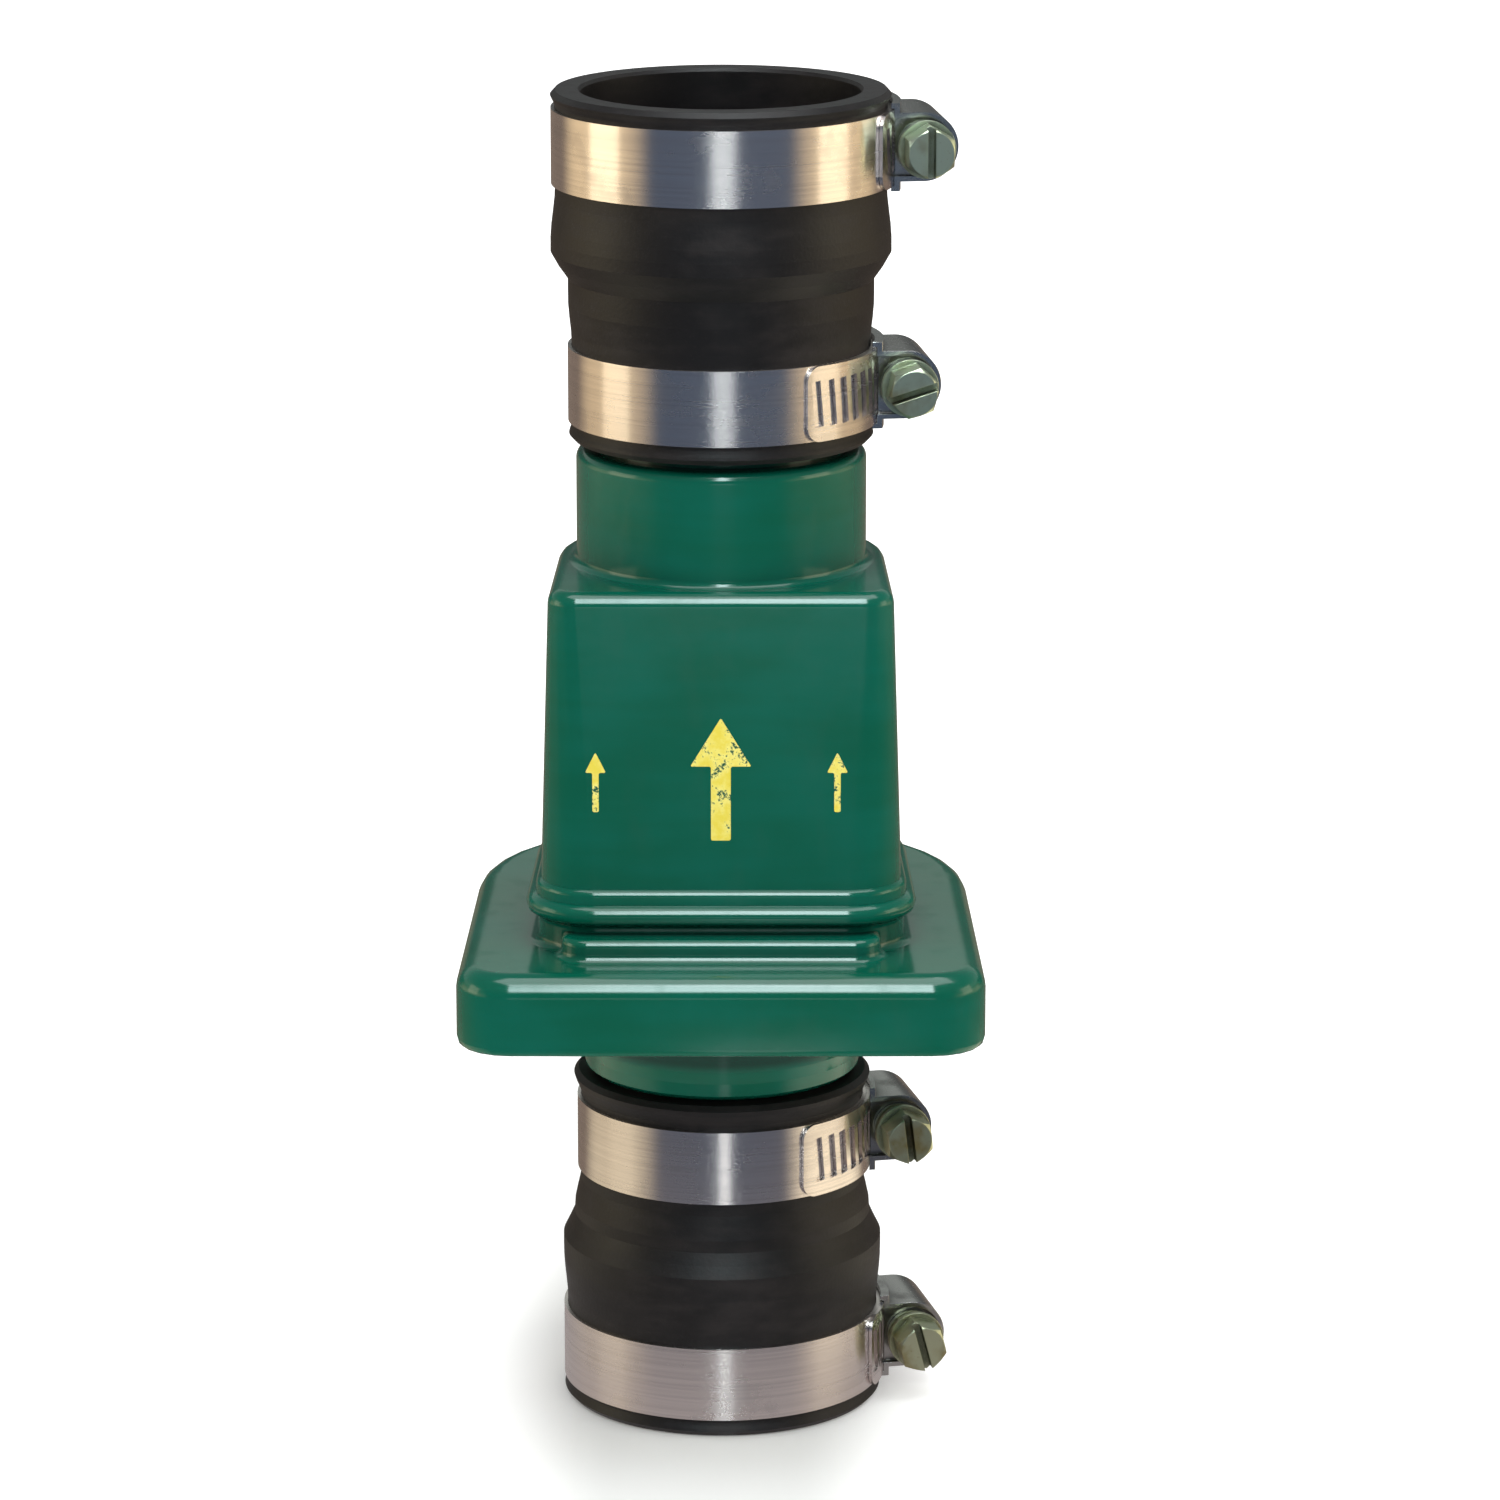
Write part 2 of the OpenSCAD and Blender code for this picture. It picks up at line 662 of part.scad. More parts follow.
module upper_sleeve() {
    color([0.10, 0.09, 0.09])
        translate([0, 0, z_sleeve])
            sleeve(
                upper_sleeve_l, upper_small_depth, upper_large_r, upper_small_r,
                upper_small_inset, upper_small_bite, upper_large_bite
            );
}

module lower_sleeve() {
    color([0.10, 0.09, 0.09])
        translate([0, 0, lower_sleeve_l])
            mirror([0, 0, 1])
                sleeve(
                    lower_sleeve_l, lower_small_depth, lower_large_r, lower_small_r,
                    lower_small_inset, lower_small_bite, lower_large_bite
                );
}

// Clamps: height of the middle, free rubber radius, bite, screw azimuth, tail azimuth, turn of the screw
CLAMPS = [
    [z_end - large_inset, upper_large_r, upper_large_bite, upper_screw_a, large_tail_a - 90, 90],
    [z_sleeve + upper_small_inset, upper_small_r, upper_small_bite, upper_screw_a, small_tail_a - 90, 17],
    [lower_sleeve_l - lower_small_inset, lower_small_r, lower_small_bite, lower_screw_a, small_tail_a - 90, 97],
    [large_inset, lower_large_r, lower_large_bite, lower_screw_a, large_tail_a - 90, 105]
];
function inner_r(c) = c[1] - c[2] + rubber_fit;
function outer_r(c) = inner_r(c) + band_t + layer_gap;
function band_r(c) = outer_r(c) + band_t;
function worm_r(c) = band_r(c) - dip + crest_r;
function slot_a(c) = pitch / band_r(c) * 180 / PI;

// Both ends of the step between the layers, as angles from the screw, and its overlap with the strips
step_a = [fixed_a + 3, fixed_a + 10];
step_lap = 1.5;
step_skin = 0.1;

// One side of the step between the layers, with both ends inside the strips' thickness
function step_side(c, depth) = [
    polar(inner_r(c) + depth, c[3] + step_a[1] + step_lap), polar(inner_r(c) + depth, c[3] + step_a[1]),
    polar(outer_r(c) + depth, c[3] + step_a[0]), polar(outer_r(c) + depth, c[3] + step_a[0] - step_lap)
];
function reverse(list) = [for (i = [len(list) - 1:-1:0]) list[i]];

module strip(r, from, to) {
    rotate([0, 0, from])
        rotate_extrude(angle = to - from)
            translate([r, -band_w / 2])
                square([band_t, band_w]);
}

module band(c) {
    a = c[3];
    first = ceil((c[4] + tail_room_a - a) / slot_a(c));
    translate([0, 0, c[0]]) {
        strip(inner_r(c), a + step_a[1] - 360, a + fixed_a);
        translate([0, 0, -band_w / 2])
            linear_extrude(band_w)
                polygon(concat(step_side(c, step_skin), reverse(step_side(c, band_t - step_skin))));
        difference() {
            strip(outer_r(c), c[4], a + step_a[0]);
            for (k = [first:WORM_TURNS])
                rotate([0, 0, a + k * slot_a(c)])
                    translate([outer_r(c) + band_t / 2, 0, 0])
                        rotate([slot_lean, 0, 0])
                            cube([2 * band_t, slot_w, slot_l], center = true);
            for (s = [-1, 1])
                tail_corner(c, s);
        }
    }
}

// Cutter that rounds one corner of the tail
module tail_corner(c, s) {
    cut_t = 2 * band_t + 2 * eps;
    rotate([0, 0, c[4]])
        translate([outer_r(c) + band_t / 2, 0, s * band_w / 2])
            rotate([0, 90, 0])
                difference() {
                    cube([2 * tail_r, 2 * tail_r, cut_t], center = true);
                    translate([s * tail_r, tail_r, 0])
                        cylinder(r = tail_r, h = cut_t + eps, center = true);
                }
}

// Housing: a dome over the worm on a saddle that holds both band layers
module housing(c) {
    r_in = crest_r + worm_gap;
    r_out = r_in + sheet_t;
    r_seat = band_r(c) + layer_gap;
    half_w = band_w / 2 + band_side;
    saddle_w = 2 * (half_w + sheet_t);
    room = housing_l - 2 * sheet_t - dome_lip;
    x0 = r_seat - saddle_drop;
    translate([0, 0, c[0]])
        rotate([0, 0, c[3]])
            difference() {
                union() {
                    intersection() {
                        cylinder(r = r_seat + sheet_t, h = saddle_w, center = true);
                        translate([x0, -housing_l / 2, -saddle_w / 2 - eps])
                            cube([saddle_drop + sheet_t + eps, housing_l, saddle_w + 2 * eps]);
                    }
                    translate([x0, -housing_l / 2, -r_out])
                        cube([worm_r(c) - x0, housing_l, 2 * r_out]);
                    half_drum(worm_r(c), r_out, housing_l);
                }
                cylinder(r = c[1] + rubber_fit, h = saddle_w + 2 * eps, center = true);
                cylinder(r = r_seat, h = 2 * half_w, center = true);
                translate([0, dome_lip / 2, 0])
                    hollow(c, r_in, room);
                translate([0, -housing_l / 2, 0])
                    hollow(c, r_in, 2 * dome_lip);
                translate([worm_r(c), 0, 0])
                    rotate([90, 0, 0])
                        cylinder(r = neck_r + run_fit, h = housing_l);
                translate([worm_r(c), housing_l, 0])
                    rotate([90, 0, 0])
                        cylinder(r = pilot_r + run_fit, h = housing_l);
            }
}

// Hollow of a dome, open toward the band
module hollow(c, r, l) {
    reach = saddle_drop + band_t;
    translate([worm_r(c) - crest_r - reach, -l / 2, -r])
        cube([crest_r + reach, l, 2 * r]);
    half_drum(worm_r(c), r, l);
}

// Half cylinder along the screw axis on the side away from the pipe
module half_drum(x, r, l) {
    translate([x, l / 2, 0])
        rotate([90, 0, 0])
            rotate([0, 0, -90])
                rotate_extrude(angle = 180)
                    square([r, l]);
}

// Worm screw along -Y from the middle of its housing
module screw(c) {
    back = housing_l / 2 - sheet_t - end_play;
    front = back - dome_lip;
    collar_z = housing_l / 2 - dome_lip + collar_gap;
    flange_z = collar_z + collar_t + shank_l;
    teeth = [for (k = [-WORM_TURNS:WORM_TURNS]) each [
        [root_r, k * pitch - tooth_w / 2], [crest_r, k * pitch - crest_w / 2],
        [crest_r, k * pitch + crest_w / 2], [root_r, k * pitch + tooth_w / 2]
    ]];
    translate([worm_r(c) * cos(c[3]), worm_r(c) * sin(c[3]), c[0]])
        rotate([90, 0, c[3]]) {
            intersection() {
                rotate_extrude()
                    polygon(concat(
                        [[0, -housing_l], [root_r, -housing_l]], teeth,
                        [[root_r, housing_l], [0, housing_l]]
                    ));
                translate([0, 0, -back])
                    cylinder(r = crest_r + weld, h = back + front);
            }
            translate([0, 0, -housing_l / 2 - 2 * collar_gap])
                cylinder(r = pilot_r, h = housing_l / 2);
            cylinder(r = neck_r, h = flange_z + eps);
            translate([0, 0, collar_z])
                cylinder(r = crest_r + worm_gap - collar_room, h = collar_t);
            translate([0, 0, flange_z])
                cylinder(r = head_flange_r, h = head_flange_t);
            translate([0, 0, flange_z + head_flange_t])
                rotate([0, 0, c[5]])
                    hex_head();
        }
}

module hex_head() {
    corner_r = hex_af / 2 / cos(30);
    end_r = corner_r - hex_bevel;
    difference() {
        intersection() {
            cylinder(r = corner_r, h = hex_h, $fn = 6);
            cylinder(r1 = end_r + hex_h, r2 = end_r, h = hex_h);
        }
        translate([-corner_r - eps, -driver_w / 2, hex_h - driver_d])
            cube([2 * corner_r + 2 * eps, driver_w, driver_d + eps]);
    }
}

module steel_band(c) { color([0.78, 0.76, 0.70]) band(c); }
module steel_housing(c) { color([0.60, 0.61, 0.58]) housing(c); }
module steel_screw(c) { color([0.50, 0.54, 0.50]) screw(c); }

outlet_body();
inlet_body();
hinge_pin();
flapper_arm();
flapper_disc();
flapper_backing();
flapper_washer();
flapper_rivet();
upper_sleeve();
lower_sleeve();
steel_band(CLAMPS[0]);  // band_1
steel_band(CLAMPS[1]);  // band_2
steel_band(CLAMPS[2]);  // band_3
steel_band(CLAMPS[3]);  // band_4
steel_housing(CLAMPS[0]);  // housing_1
steel_housing(CLAMPS[1]);  // housing_2
steel_housing(CLAMPS[2]);  // housing_3
steel_housing(CLAMPS[3]);  // housing_4
steel_screw(CLAMPS[0]);  // screw_1
steel_screw(CLAMPS[1]);  // screw_2
steel_screw(CLAMPS[2]);  // screw_3
steel_screw(CLAMPS[3]);  // screw_4
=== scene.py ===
from math import atan2, radians, tan

import bmesh
import bpy
from mathutils import Matrix, Vector


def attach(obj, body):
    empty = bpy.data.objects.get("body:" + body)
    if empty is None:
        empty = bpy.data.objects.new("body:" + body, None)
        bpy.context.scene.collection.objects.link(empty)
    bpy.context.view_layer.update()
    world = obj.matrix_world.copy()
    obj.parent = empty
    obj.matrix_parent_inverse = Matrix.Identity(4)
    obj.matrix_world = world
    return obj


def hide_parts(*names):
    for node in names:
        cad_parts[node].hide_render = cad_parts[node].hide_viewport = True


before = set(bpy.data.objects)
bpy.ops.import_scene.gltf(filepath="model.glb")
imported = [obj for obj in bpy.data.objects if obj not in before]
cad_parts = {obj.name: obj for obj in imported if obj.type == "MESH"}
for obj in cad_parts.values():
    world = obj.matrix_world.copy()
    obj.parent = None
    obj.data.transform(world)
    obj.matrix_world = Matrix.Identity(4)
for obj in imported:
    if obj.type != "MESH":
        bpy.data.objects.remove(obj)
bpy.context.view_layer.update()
print("frame loaded:", len(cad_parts), "nodes")


# camera

cameraView = {
    "place": (0.005, -1.1167, 0.3986),  # metres
    "tilt": 14.12,  # degrees below the horizon
    "lens": 157.06,  # mm
    "sensor": 36,  # mm
    "clip": (0.01, 50),  # metres
}


def makeCamera():
    data = bpy.data.cameras.new("studioCamera")
    data.sensor_width = cameraView["sensor"]
    data.lens = cameraView["lens"]
    data.clip_start, data.clip_end = cameraView["clip"]
    camera = bpy.data.objects.new("studioCamera", data)
    camera.location = cameraView["place"]
    camera.rotation_euler = (radians(90 - cameraView["tilt"]), 0, 0)
    bpy.context.scene.collection.objects.link(camera)
    bpy.context.scene.camera = camera


makeCamera()
print("camera made")


# shader maths

nearZero = 0.001  # keeps a division off zero


class Wire:
    # one shader socket that takes part in plain arithmetic
    def __init__(self, shade, socket):
        self.shade = shade
        self.socket = socket

    def maths(self, operation, first, second=0.0):
        return self.shade.add("ShaderNodeMath", {"operation": operation}, {0: first, 1: second})

    def __add__(self, other):
        return self.maths("ADD", self, other)

    def __radd__(self, other):
        return self.maths("ADD", other, self)

    def __sub__(self, other):
        return self.maths("SUBTRACT", self, other)

    def __rsub__(self, other):
        return self.maths("SUBTRACT", other, self)

    def __mul__(self, other):
        return self.maths("MULTIPLY", self, other)

    def __rmul__(self, other):
        return self.maths("MULTIPLY", other, self)

    def __truediv__(self, other):
        return self.maths("DIVIDE", self, other)

    def __rtruediv__(self, other):
        return self.maths("DIVIDE", other, self)

    def __abs__(self):
        return self.maths("ABSOLUTE", self)

    def root(self):
        return self.maths("SQRT", self)

    def most(self, other):
        return self.maths("MAXIMUM", self, other)

    def least(self, other):
        return self.maths("MINIMUM", self, other)

    def share(self, whole):
        return self / (whole + nearZero)

    def ease(self, low, high):
        # 0 below low, 1 above high, smooth between
        settings = {"interpolation_type": "SMOOTHSTEP", "clamp": True}
        return self.shade.add("ShaderNodeMapRange", settings, {0: self, 1: low, 2: high, 3: 0.0, 4: 1.0})


class Shade:
    # a node tree, and the one way in which nodes are put into it
    def __init__(self, owner):
        owner.use_nodes = True
        self.tree = owner.node_tree
        self.tree.nodes.clear()

    def add(self, kind, settings=None, inputs=None, out=0):
        # a wire from the new node's output, or nothing for a node that has none
        node = self.tree.nodes.new(kind)
        for key, value in (settings or {}).items():
            setattr(node, key, value)
        for key, value in (inputs or {}).items():
            socket = node.inputs[key]
            if isinstance(value, Wire):
                self.tree.links.new(value.socket, socket)
            else:
                socket.default_value = (*value, 1.0) if socket.type == "RGBA" else value
        return Wire(self, node.outputs[out]) if len(node.outputs) else None

    def place(self):
        # object coordinates, in metres
        return self.add("ShaderNodeTexCoord", out="Object")

    def axes(self, vector):
        first = self.add("ShaderNodeSeparateXYZ", None, {0: vector})
        return [Wire(self, socket) for socket in first.socket.node.outputs]

    def noise(self, vector, facts):
        # facts: a scale, or a stretch along each axis, the detail, and where the pattern starts and ends
        if "stretch" in facts:
            vector = self.add("ShaderNodeMapping", None, {"Vector": vector, "Scale": facts["stretch"]})
        inputs = {"Vector": vector, "Detail": facts["detail"]}
        inputs["Scale"] = facts.get("scale", 1.0)
        inputs["Roughness"] = facts.get("rough", 0.5)
        pattern = self.add("ShaderNodeTexNoise", None, inputs)
        return pattern.ease(*facts["between"]) if "between" in facts else pattern

    def blend(self, factor, first, second):
        # 6 and 7 are the colours going in, 2 is the one coming out
        return self.add("ShaderNodeMix", {"data_type": "RGBA"}, {0: factor, 6: first, 7: second}, 2)

    def openness(self, facts):
        # 1 on open surface, less in corners narrower than the reach
        settings = {"samples": facts["samples"], "only_local": facts["ownShapeOnly"]}
        return self.add("ShaderNodeAmbientOcclusion", settings, {"Distance": facts["reach"]}, "AO")

    def bump(self, height, distance):
        return self.add("ShaderNodeBump", None, {"Height": height, "Distance": distance, "Strength": 1.0})

    def surface(self, inputs):
        shader = self.add("ShaderNodeBsdfPrincipled", None, inputs)
        self.add("ShaderNodeOutputMaterial", None, {"Surface": shader})

    def glowing(self, kind, colour, strength=1.0):
        # an Emission or Background shader
        return self.add(kind, None, {"Color": colour, "Strength": strength})

    def byRay(self, plain, forCamera, inGloss):
        # one shader for plain light, one for the camera and one for what shiny parts reflect
        rays = ("Is Camera Ray", "Is Glossy Ray", "Is Transmission Ray")
        camera, glossy, through = [self.add("ShaderNodeLightPath", out=ray) for ray in rays]
        direct = self.add("ShaderNodeMixShader", None, {0: camera, 1: plain, 2: forCamera})
        return self.add("ShaderNodeMixShader", None, {0: glossy.most(through), 1: direct, 2: inGloss})


def newShade(name):
    material = bpy.data.materials.new(name)
    return Shade(material), material


def axisDistance(x, y):
    return (x * x + y * y).root()


def strip(across, facts):
    # 1 inside a strip that runs straight away from the part, 0 outside it
    return 1.0 - abs(across - facts["middle"]).ease(*facts["edge"])


# stage: shiny parts reflect dark and warm cards and a few light strips in place of plain white

cards = {
    "gloom": (0.062, 0.090, 0.142),  # low in front
    "sideGlow": (1.14, 0.90, 0.54),  # far out at both sides
}

floorLook = {
    "size": 8.0,  # metres
    "colour": (0.86, 0.86, 0.85),
    "bounce": 0.34,  # light that the paper gives off by itself
    "bounceColour": (1.0, 0.99, 0.97),
    "cameraNear": (0.03, 0.03, 0.03),  # added for the camera only; little in line with the part, which leaves a painted shade there
    "cameraSides": (0.60, 0.60, 0.60),  # beside it
    "cameraFar": (0.95, 0.95, 0.95),  # and far out
    "shadeLeft": 0.003,  # how far left of the axis the darkest line of the painted shade lies
    "shadeEdge": (0.015, 0.045),
    "shadeReach": (0.25, 1.6),
}

floorCards = {  # edges in metres from the axis, sideways as the sine of the angle from straight ahead
    "sheet": (0.40, 0.37, 0.365),  # at the part's foot
    "sheetEdge": (0.07, 0.11),
    "leftGlow": (0.82, 0.73, 0.53),  # beside the sheet
    "rightGlow": (1.42, 1.28, 0.96),
    "parting": (-0.01, 0.01),  # where the left glow gives way to the right one
    "nearGlowEnd": (0.20, 0.28),
    "farGlowStart": (0.78, 1.05),
    "sideways": (0.70, 0.95),
    "frontward": (-0.1, 0.25),
    "behind": (0.23, 0.18, 0.145),
}

# light strips in front of the part, for the bright streak in the middle of each band
lightStrips = {  # middle and edge as sines, start and end in metres
    "foot": {"light": (1.00, 1.07, 1.10), "middle": 0.03, "edge": (0.035, 0.075)},
    "near": {
        "light": (1.60, 1.70, 1.75), "middle": 0.04, "edge": (0.045, 0.09),
        "start": (0.10, 0.115), "end": (0.26, 0.29),
    },
    "far": {"light": (1.80, 1.95, 2.02), "middle": 0.035, "edge": (0.09, 0.20), "start": (1.10, 1.20)},
}


def floorInGloss(shade, x, y):
    away = axisDistance(x, y)
    ahead = 0.0 - y
    across = x.share(away)
    toSide = abs(x).share(away).ease(*floorCards["sideways"])
    toFront = ahead.ease(*floorCards["frontward"])
    foot, near, far = lightStrips["foot"], lightStrips["near"], lightStrips["far"]
    footStrip = strip(across, foot) * toFront
    nearStrip = strip(across, near) * ahead.ease(*near["start"]) * (1.0 - ahead.ease(*near["end"]))
    farStrip = strip(across, far) * ahead.ease(*far["start"])
    inFront = shade.blend(farStrip, shade.blend(nearStrip, cards["gloom"], near["light"]), far["light"])
    close = 1.0 - away.ease(*floorCards["nearGlowEnd"])
    nearGlow = shade.blend(x.ease(*floorCards["parting"]), floorCards["leftGlow"], floorCards["rightGlow"])
    glow = shade.blend(close, cards["sideGlow"], nearGlow)
    reach = toSide * away.ease(*floorCards["farGlowStart"]).most(close)
    lit = shade.blend(reach, inFront, glow)
    behind = shade.blend(reach, floorCards["behind"], glow)
    around = shade.blend(toFront, behind, lit)
    sheet = shade.blend(footStrip, floorCards["sheet"], foot["light"])
    return shade.blend(1.0 - away.ease(*floorCards["sheetEdge"]), around, sheet)


def makeFloor():
    look = floorLook
    bm = bmesh.new()
    bmesh.ops.create_grid(bm, x_segments=1, y_segments=1, size=look["size"] / 2)
    mesh = bpy.data.meshes.new("studioFloor")
    bm.to_mesh(mesh)
    bm.free()
    floor = bpy.data.objects.new("studioFloor", mesh)
    bpy.context.scene.collection.objects.link(floor)
    shade, material = newShade("paperFloor")
    x, y = shade.axes(shade.place())[:2]
    paper = shade.add("ShaderNodeBsdfDiffuse", None, {"Color": look["colour"]})
    bounce = shade.glowing("ShaderNodeEmission", look["bounceColour"], look["bounce"])
    plain = shade.add("ShaderNodeAddShader", None, {0: paper, 1: bounce})
    # camera-only light, weak in line with the part and strong beside and far out: painted shade around the
    # foot, over the real shadow
    beside = abs(x + look["shadeLeft"]).ease(*look["shadeEdge"])
    near = shade.blend(beside, look["cameraNear"], look["cameraSides"])
    pale = shade.blend(axisDistance(x, y).ease(*look["shadeReach"]), near, look["cameraFar"])
    bright = shade.add("ShaderNodeAddShader", None, {0: paper, 1: shade.glowing("ShaderNodeEmission", pale)})
    inGloss = shade.glowing("ShaderNodeEmission", floorInGloss(shade, x, y))
    shade.add("ShaderNodeOutputMaterial", None, {"Surface": shade.byRay(plain, bright, inGloss)})
    mesh.materials.append(material)


skyLook = {  # edges as parts of a direction's x, y or z
    "fillBack": (0.52, 0.52, 0.52),  # even light from behind, above and the sides
    "fillFront": (0.84, 0.84, 0.84),
    "fillTurn": (-0.3, 0.9),
    "white": (1.0, 1.0, 1.0),
    "sideways": (0.72, 0.95),
    "glowFade": (0.06, 0.20),  # heights over which the side glow loses a share
    "glowLoss": 0.6,
    "backward": (-0.2, 0.4),
    "wall": (0.54, 0.58, 0.54),  # behind
    "wallLow": (0.08, 0.085, 0.085),  # lower down, where level faces high on the part look
    "wallFoot": (0.215, 0.258),
    "above": (0.20, 0.21, 0.23),
    "upward": (0.15, 0.75),
}

tallSoftbox = {  # narrow, above the camera, seen in shiny parts only
    "light": (16.0, 19.0, 19.5), "middle": 0.02, "edge": (0.075, 0.12),
    "frontward": (0.0, 0.05), "foot": (0.40, 0.58), "top": (0.88, 0.96),
}


def makeWorld():
    look, box = skyLook, tallSoftbox
    world = bpy.data.worlds.new("studioWorld")
    bpy.context.scene.world = world
    shade = Shade(world)
    x, y, z = shade.axes(shade.add("ShaderNodeTexCoord", out="Generated"))
    toSide = abs(x).ease(*look["sideways"]) * (1.0 - z.ease(*look["glowFade"]) * look["glowLoss"])
    front = shade.blend(toSide, cards["gloom"], cards["sideGlow"])
    wall = shade.blend(z.ease(*look["wallFoot"]), look["wallLow"], look["wall"])
    behind = shade.blend(toSide, wall, cards["sideGlow"])
    around = shade.blend(y.ease(*look["backward"]), front, behind)
    sky = shade.blend(z.ease(*look["upward"]), around, look["above"])
    boxWidth = strip(x.share(axisDistance(x, y)), box) * (0.0 - y).ease(*box["frontward"])
    boxShape = boxWidth * z.ease(*box["foot"]) * (1.0 - z.ease(*box["top"]))
    seen = shade.blend(boxShape, sky, box["light"])
    fill = shade.blend((0.0 - y).ease(*look["fillTurn"]), look["fillBack"], look["fillFront"])
    even, white, inGloss = [
        shade.glowing("ShaderNodeBackground", colour) for colour in (fill, look["white"], seen)
    ]
    shade.add("ShaderNodeOutputWorld", None, {"Surface": shade.byRay(even, white, inGloss)})


warmLight = (1.0, 0.90, 0.64)
lamps = {  # softboxes, in metres and watts
    "overhead": {
        "place": (0.10, -0.12, 1.24), "size": (1.0, 0.9), "power": 10.5, "colour": (0.95, 0.99, 1.0),
    },
    "left": {"place": (-1.05, -0.10, 0.30), "size": (0.5, 0.5), "power": 1.5, "colour": warmLight},
    "right": {"place": (1.05, -0.16, 0.32), "size": (0.5, 0.5), "power": 1.5, "colour": warmLight},
}
lampAim = (0, 0, 0.12)  # the part's middle


def areaLight(name, facts):
    data = bpy.data.lights.new(name, "AREA")
    data.shape = "RECTANGLE"
    data.size, data.size_y = facts["size"]
    data.energy = facts["power"]
    data.color = facts["colour"]
    lamp = bpy.data.objects.new(name, data)
    lamp.location = facts["place"]
    toward = Vector(lampAim) - Vector(facts["place"])
    lamp.rotation_euler = toward.to_track_quat("-Z", "Y").to_euler()
    bpy.context.scene.collection.objects.link(lamp)


makeFloor()
makeWorld()
for lampName, lampFacts in lamps.items():
    areaLight(lampName + "Softbox", lampFacts)
bpy.context.scene.view_settings.view_transform = "Standard"
print("stage made")


# finishes: tint gives the patterns' shares in the colour, dull what they add to the roughness

commonIor = 1.5  # of plastic, rubber and foil

mouldedGreen = {
    "deep": (0.0005, 0.092, 0.052),
    "light": (0.0007, 0.108, 0.070),
    "cloud": {"scale": 38, "detail": 3},
    "flow": {"stretch": (40, 40, 260), "detail": 2},  # faint lines of flow round the walls
    "tint": {"cloud": 0.7, "flow": 0.3},
    "tintEdge": (0.36, 0.66),
    "haze": {"stretch": (160, 160, 60), "detail": 3, "rough": 0.6, "between": (0.50, 0.75)},
    "dust": {"scale": 1500, "detail": 2, "between": (0.68, 0.82)},
    "dull": {"cloud": 0.05, "haze": 0.06, "dust": 0.06},
    "roughness": 0.13,
    "peel": {"scale": 520, "detail": 2},
    "waves": {"scale": 85, "detail": 2},
    "waviness": 7.0,  # height of the waves, as times the peel
    "peelHeight": 0.000006,  # metres
    "shine": 0.40,  # specular level
    "coat": 0.15,
    "coatRoughness": 0.12,
    "corner": (0.0003, 0.034, 0.022),  # painted shade in creases, and painted shadow of the skirt in the hollow
    "crease": {"reach": 0.012, "samples": 6, "ownShapeOnly": False},
    "creaseEdge": (0.25, 0.75),
    "hollowFoot": (0.0652, 0.0678),  # heights between which the inlet neck gets a painted shadow of the skirt
    "hollowTop": (0.0775, 0.0785),
    "hollowSpan": (0.0015, 0.0019),  # and how far out, as the square of the distance from the axis
}


def makeMouldedGreen():
    look, tint, dull = mouldedGreen, mouldedGreen["tint"], mouldedGreen["dull"]
    shade, material = newShade("mouldedGreen")
    place = shade.place()
    cloud = shade.noise(place, look["cloud"])
    flow = shade.noise(place, look["flow"])
    tone = (cloud * tint["cloud"] + flow * tint["flow"]).ease(*look["tintEdge"])
    clean = shade.blend(tone, look["deep"], look["light"])
    x, y, z = shade.axes(place)
    # painted shadow of the skirt, darkening the top of the inlet neck
    heights = z.ease(*look["hollowFoot"]) * (1.0 - z.ease(*look["hollowTop"]))
    hollow = heights * (1.0 - (x * x + y * y).ease(*look["hollowSpan"]))
    shaded = shade.blend(hollow, clean, look["corner"])
    # painted shade: darker colour in creases that the occlusion node finds narrow
    colour = shade.blend(shade.openness(look["crease"]).ease(*look["creaseEdge"]), look["corner"], shaded)
    haze = shade.noise(place, look["haze"])
    dust = shade.noise(place, look["dust"])
    rough = look["roughness"] + cloud * dull["cloud"] + haze * dull["haze"] + dust * dull["dust"]
    relief = shade.noise(place, look["peel"]) + shade.noise(place, look["waves"]) * look["waviness"]
    shade.surface({
        "Base Color": colour, "Roughness": rough, "Normal": shade.bump(relief, look["peelHeight"]),
        "IOR": commonIor, "Specular IOR Level": look["shine"],
        "Coat Weight": look["coat"], "Coat Roughness": look["coatRoughness"],
    })
    return material


blackRubber = {
    "deep": (0.0085, 0.0075, 0.0082),
    "dusty": (0.029, 0.0235, 0.023),
    "cloud": {"scale": 60, "detail": 4, "rough": 0.6},
    "bloom": {"stretch": (120, 120, 420), "detail": 4, "rough": 0.6},
    "dust": {"cloud": 0.6, "bloom": 0.5},  # shares of both in the dust
    "dustEdge": (0.45, 0.80),
    "specks": {"scale": 2300, "detail": 2, "between": (0.62, 0.75)},
    "tint": {"dust": 0.6, "specks": 0.25},
    "dull": {"dust": 0.14, "specks": 0.08},
    "roughness": 0.44,
    "grain": {"scale": 1500, "detail": 3},
    "cloudRelief": 1.5,  # height of the cloud, as times the grain
    "grainHeight": 0.00003,  # metres
    "shine": 0.31,  # specular level
}


